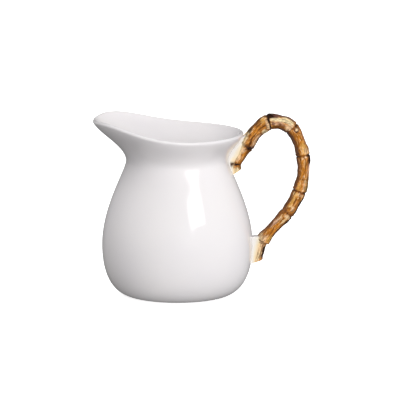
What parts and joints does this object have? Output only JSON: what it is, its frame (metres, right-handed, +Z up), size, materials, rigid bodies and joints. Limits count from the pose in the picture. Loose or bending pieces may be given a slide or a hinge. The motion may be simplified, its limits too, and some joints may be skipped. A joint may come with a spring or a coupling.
{
  "type": "cream jug",
  "caption": "Pot-bellied white porcelain cream jug with a flared rim, a broad pouring spout and a ceramic handle formed and painted as bent bamboo.",
  "frame": {"origin": "centre of the foot ring, on the surface that the jug stands on", "axes": "+Z up, +X towards the handle, -X towards the spout, mirror plane Y = 0"},
  "size_m": [0.14, 0.098, 0.1182],
  "materials": {
    "white_glaze": "gloss",
    "bamboo_glaze": "gloss",
    "luting_glaze": "gloss"
  },
  "bodies": {
    "root": {"jug_body": "white_glaze", "bamboo_handle": "bamboo_glaze", "upper_luting_pad": "luting_glaze", "lower_luting_pad": "luting_glaze"}
  },
  "joints": []
}
